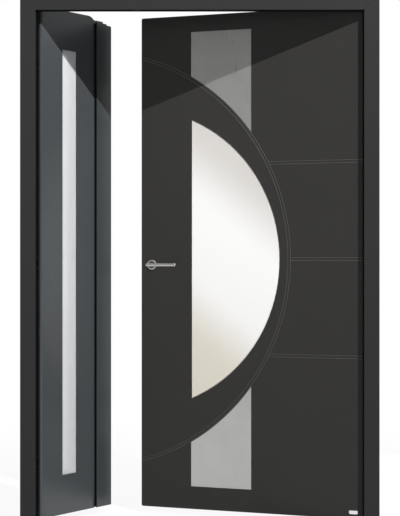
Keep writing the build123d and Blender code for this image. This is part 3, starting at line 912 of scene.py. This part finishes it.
class DOOR_OT_blank_plate(bpy.types.Operator):
    """Adds the small bare plate near the foot of the wide leaf"""
    bl_idname = "door.blank_plate"
    bl_label = "Blank plate"

    def execute(self, context):
        fittings = context.scene.door_fittings
        low, high = shut_box("main_outer_panel")
        width, height = fittings.plate_size
        inset_x, inset_z = fittings.plate_inset
        thickness = 0.0012
        corner_radius = 0.002
        mesh = bmesh.new()
        bmesh.ops.create_cube(mesh, size=1.0)
        bmesh.ops.scale(mesh, vec=(width, thickness, height), verts=mesh.verts)
        centre = Vector((high.x - inset_x, low.y - thickness / 2, low.z + inset_z))
        bmesh.ops.translate(mesh, vec=centre, verts=mesh.verts)
        upright = [edge for edge in mesh.edges if abs((edge.verts[0].co - edge.verts[1].co).y) > 0]
        bmesh.ops.bevel(mesh, geom=upright, offset=corner_radius, offset_type="OFFSET", affect="EDGES",
                        segments=4, profile=0.5, material=-1)
        plate = add_piece("blank_plate", mesh, "main_leaf", "blank_enamel")
        shade_smooth(plate, 40)
        return {"FINISHED"}


class DOOR_OT_stage(bpy.types.Operator):
    """Sets the floor, the light and the camera"""
    bl_idname = "door.stage"
    bl_label = "Stage"

    def execute(self, context):
        stage = context.scene.door_stage
        self.add_floor(stage)
        self.add_flag()
        self.add_world(stage)
        self.add_lamps(stage)
        self.add_camera(stage)
        context.scene.view_settings.view_transform = "Standard"
        return {"FINISHED"}

    def seen_directly(self, tree):
        """One where a ray comes from the camera, a mirror-like surface or through glass."""
        path = tree.nodes.new("ShaderNodeLightPath")
        seen = math_node(tree, "MAXIMUM", path.outputs["Is Camera Ray"], path.outputs["Is Glossy Ray"])
        return math_node(tree, "MAXIMUM", seen, path.outputs["Is Transmission Ray"])

    def add_floor(self, stage):
        self.floor_material(stage)
        mesh = bmesh.new()
        bmesh.ops.create_grid(mesh, x_segments=1, y_segments=1, size=30.0)
        floor = mesh_object("floor", mesh, "pale_floor")

    def floor_material(self, stage):
        """Pale floor that is seen as white, with a faint shadow close to the door."""
        tree, surface, place = start_material("pale_floor")
        surface["Base Color"].default_value = stage.floor_colour
        surface["Roughness"].default_value = 0.9
        surface["Specular IOR Level"].default_value = 0.0
        shaded = tree.nodes.new("ShaderNodeBsdfDiffuse")
        shaded.inputs["Color"].default_value = (0.95, 0.95, 0.95, 1)
        white = tree.nodes.new("ShaderNodeEmission")
        white.inputs["Strength"].default_value = 1.0
        reach = tree.nodes.new("ShaderNodeVectorMath")
        reach.operation = "LENGTH"
        tree.links.new(place, reach.inputs[0])
        share = range_node(tree, reach.outputs["Value"], low=0.92, high=1.0, start=1.2, stop=4.0)
        share.node.interpolation_type = "SMOOTHSTEP"
        seen = self.mix_shaders(tree, share, shaded, white)
        matt = tree.nodes["Principled BSDF"]
        mixed = self.mix_shaders(tree, self.seen_directly(tree), matt, seen)
        tree.links.new(mixed.outputs[0], tree.nodes["Material Output"].inputs["Surface"])

    def mix_shaders(self, tree, share, first, second):
        mix = tree.nodes.new("ShaderNodeMixShader")
        tree.links.new(share, mix.inputs[0])
        tree.links.new(first.outputs[0], mix.inputs[1])
        tree.links.new(second.outputs[0], mix.inputs[2])
        return mix

    def add_flag(self):
        """Board above the frame that keeps the key light off the tops of the open leaves."""
        low, high = cad_box
        half_width, half_height, setback = 2.0, 0.6, 0.02
        _, surface, _ = start_material("grey_board")
        surface["Base Color"].default_value = (0.1, 0.1, 0.1, 1)
        mesh = bmesh.new()
        bmesh.ops.create_grid(mesh, x_segments=1, y_segments=1, size=1.0)
        bmesh.ops.scale(mesh, vec=(half_width, half_height, 1.0), verts=mesh.verts)
        bmesh.ops.rotate(mesh, matrix=Matrix.Rotation(math.radians(90), 3, "X"), verts=mesh.verts)
        bmesh.ops.translate(mesh, vec=(0, low[1] + setback, high[2] + half_height), verts=mesh.verts)
        flag = mesh_object("flag", mesh, "grey_board")
        self.hide_from_view(flag)

    def hide_from_view(self, item):
        """Leaves a lamp or a board out of the picture and of reflections."""
        item.visible_camera = False
        item.visible_glossy = False
        item.visible_transmission = False

    def add_world(self, stage):
        """Dim even sky that is seen as white, and mirrored as white only from behind the door."""
        world = bpy.data.worlds.new("studio")
        bpy.context.scene.world = world
        world.use_nodes = True
        tree = world.node_tree
        sky = tree.nodes["Background"]
        sky.inputs["Color"].default_value = (1, 1, 1, 1)
        sky.inputs["Strength"].default_value = stage.sky_strength
        white = tree.nodes.new("ShaderNodeBackground")
        white.inputs["Color"].default_value = (1, 1, 1, 1)
        path = tree.nodes.new("ShaderNodeLightPath").outputs
        direction = tree.nodes.new("ShaderNodeTexCoord").outputs["Generated"]
        split = tree.nodes.new("ShaderNodeSeparateXYZ")
        tree.links.new(direction, split.inputs[0])
        behind = range_node(tree, split.outputs["Y"], low=0.03, high=1.0, start=-0.2, stop=0.4)
        mirrored = math_node(tree, "MAXIMUM", path["Is Glossy Ray"], path["Is Transmission Ray"])
        mirrored = math_node(tree, "MULTIPLY", mirrored, behind)
        seen = math_node(tree, "MAXIMUM", path["Is Camera Ray"], mirrored)
        mixed = self.mix_shaders(tree, seen, sky, white)
        tree.links.new(mixed.outputs[0], tree.nodes["World Output"].inputs["Surface"])

    def add_lamps(self, stage):
        data = bpy.data.lights.new("key", "POINT")
        data.energy = stage.key_power
        data.shadow_soft_size = 0.02
        key = bpy.data.objects.new("key", data)
        key.location = stage.key_place
        bpy.context.scene.collection.objects.link(key)
        self.add_soft_lamp("fill", stage.fill_place, stage.fill_power, size=1.2)
        self.add_soft_lamp("back", stage.back_place, stage.back_power, size=2.5)

    def add_soft_lamp(self, name, place, power, size):
        """Square lamp aimed at the door's middle, left out of reflections."""
        data = bpy.data.lights.new(name, "AREA")
        data.shape = "SQUARE"
        data.size = size
        data.energy = power
        lamp = bpy.data.objects.new(name, data)
        lamp.location = place
        door_middle = Vector((0, 0, 1.1))
        aim = door_middle - Vector(place)
        lamp.rotation_euler = aim.to_track_quat("-Z", "Y").to_euler()
        self.hide_from_view(lamp)
        bpy.context.scene.collection.objects.link(lamp)

    def add_camera(self, stage):
        data = bpy.data.cameras.new("camera")
        data.sensor_fit = "HORIZONTAL"
        data.sensor_width = SENSOR_WIDTH
        data.lens = SENSOR_WIDTH * FOCAL_PIXELS / PHOTO_WIDTH
        data.clip_end = 100.0
        camera = bpy.data.objects.new("camera", data)
        camera.location = stage.camera_place
        camera.rotation_euler = (math.radians(90), 0, 0)
        bpy.context.scene.collection.objects.link(camera)
        bpy.context.scene.camera = camera


class DOOR_PT_panel(bpy.types.Panel):
    """Lists the steps that dress the door"""
    bl_idname = "DOOR_PT_panel"
    bl_label = "Front door"
    bl_space_type = "VIEW_3D"
    bl_region_type = "UI"
    bl_category = "Front door"

    def draw(self, context):
        for operator in OPERATORS:
            self.layout.operator(operator.bl_idname)


GROUPS = {"door_finish": DoorFinish, "door_fittings": DoorFittings, "door_stage": DoorStage}
OPERATORS = [DOOR_OT_finishes, DOOR_OT_pane_seals, DOOR_OT_grooves, DOOR_OT_frame_bulb,
             DOOR_OT_foot_seals, DOOR_OT_rosette_dishes, DOOR_OT_screws, DOOR_OT_slide_bolts,
             DOOR_OT_blank_plate, DOOR_OT_stage]


def register():
    for name, group in GROUPS.items():
        bpy.utils.register_class(group)
        setattr(bpy.types.Scene, name, bpy.props.PointerProperty(type=group))
    for item in [*OPERATORS, DOOR_PT_panel]:
        bpy.utils.register_class(item)


def unregister():
    for item in [DOOR_PT_panel, *reversed(OPERATORS)]:
        bpy.utils.unregister_class(item)
    for name, group in GROUPS.items():
        delattr(bpy.types.Scene, name)
        bpy.utils.unregister_class(group)


def main():
    register()
    bpy.ops.door.finishes()
    bpy.ops.door.pane_seals()
    bpy.ops.door.grooves()
    bpy.ops.door.frame_bulb()
    bpy.ops.door.foot_seals()
    bpy.ops.door.rosette_dishes()
    bpy.ops.door.screws()
    bpy.ops.door.slide_bolts()
    bpy.ops.door.blank_plate()
    bpy.ops.door.stage()


if __name__ == "__main__":
    main()
